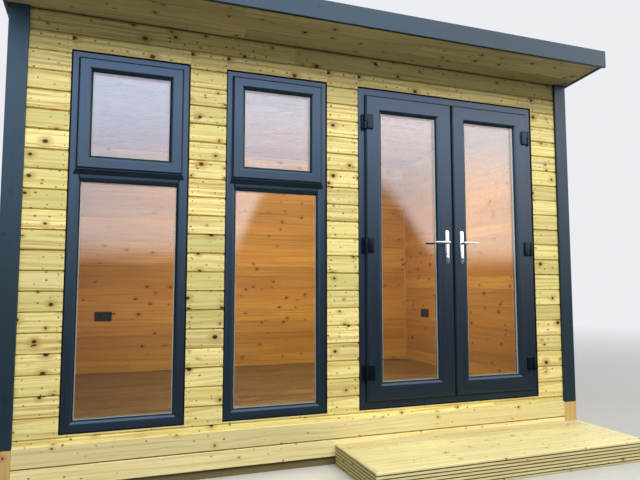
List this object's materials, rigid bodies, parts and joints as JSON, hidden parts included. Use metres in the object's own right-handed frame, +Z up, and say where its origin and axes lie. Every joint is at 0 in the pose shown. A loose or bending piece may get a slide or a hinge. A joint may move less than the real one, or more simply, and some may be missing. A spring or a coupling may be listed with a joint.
{
  "type": "garden office pod",
  "caption": "Timber-framed garden office pod with a pent roof rising to the front, tall windows with top vents, outward-opening French doors and a low decked step.",
  "frame": {"origin": "on the ground at the middle of the cladding's footprint, on the underside of the middle bearer", "axes": "+Z up, the glazed front faces -Y, +X to the right as seen from the front"},
  "size_m": [3.85, 3.06, 2.7574],
  "materials": {
    "treated_timber": "sawn, pressure treated",
    "base_board": "planed, pressure treated",
    "cladding": "planed, knotty, pressure treated",
    "step_timber": "planed and grooved",
    "frame_timber": "sawn",
    "sheet_board": "pressed strand board",
    "pine_lining": "planed, lacquered",
    "laminate": "satin laminate",
    "painted_timber": "brushed opaque paint",
    "upvc": "satin, extruded",
    "glazing": "clear double glazing",
    "hinge_coating": "satin powder coat",
    "handle_chrome": "polished",
    "socket_plastic": "gloss",
    "rubber_membrane": "matt sheet"
  },
  "bodies": {
    "pod": {"base_bearers": "treated_timber", "floor_joists": "treated_timber", "base_boards_long": "base_board", "base_boards_short": "base_board", "corner_blocks": "treated_timber", "floor_deck": "sheet_board", "laminate_floor": "laminate", "front_wall_piers": "frame_timber", "front_wall_rails": "frame_timber", "front_cladding_panels": "cladding", "front_cladding_bands": "cladding", "front_lining_panels": "pine_lining", "front_lining_top": "pine_lining", "left_wall": "frame_timber", "right_wall": "frame_timber", "back_wall": "frame_timber", "side_cladding": "cladding", "back_cladding": "cladding", "side_lining": "pine_lining", "back_lining": "pine_lining", "corner_trims_face": "painted_timber", "corner_trims_side": "painted_timber", "roof_joists": "frame_timber", "roof_deck": "sheet_board", "roof_membrane": "rubber_membrane", "ceiling_lining": "pine_lining", "front_soffit": "cladding", "fascias": "painted_timber", "bargeboards": "painted_timber", "window_frames": "upvc", "vent_sashes": "upvc", "window_glass": "glazing", "door_frame": "upvc", "left_hinge_blocks": "hinge_coating", "right_hinge_blocks": "hinge_coating", "wall_sockets": "socket_plastic", "step_bearers": "treated_timber", "step_top_boards": "step_timber", "step_facing_boards": "step_timber"},
    "left_door": {"left_leaf": "upvc", "left_door_glass": "glazing", "left_hinge_flags": "hinge_coating", "left_handle_plates": "handle_chrome"},
    "right_door": {"right_leaf": "upvc", "right_door_glass": "glazing", "right_hinge_flags": "hinge_coating", "right_handle_plates": "handle_chrome"},
    "left_handle": {"left_lever": "handle_chrome"},
    "right_handle": {"right_lever": "handle_chrome"}
  },
  "joints": [
    {"name": "left_door_hinge", "type": "hinge", "parent": "pod", "child": "left_door", "pos_m": [0.212, -1.22, 1.36], "axis": [0, 0, -1], "range_deg": [0, 100]},
    {"name": "right_door_hinge", "type": "hinge", "parent": "pod", "child": "right_door", "pos_m": [1.518, -1.22, 1.36], "axis": [0, 0, 1], "range_deg": [0, 100]},
    {"name": "left_handle_turn", "type": "hinge", "parent": "left_door", "child": "left_handle", "pos_m": [0.817, -1.214, 1.389], "axis": [0, -1, 0], "range_deg": [-40, 40], "stiffness_Nm_per_rad": 1.5},
    {"name": "right_handle_turn", "type": "hinge", "parent": "right_door", "child": "right_handle", "pos_m": [0.933, -1.214, 1.389], "axis": [0, 1, 0], "range_deg": [-40, 40], "stiffness_Nm_per_rad": 1.5}
  ]
}
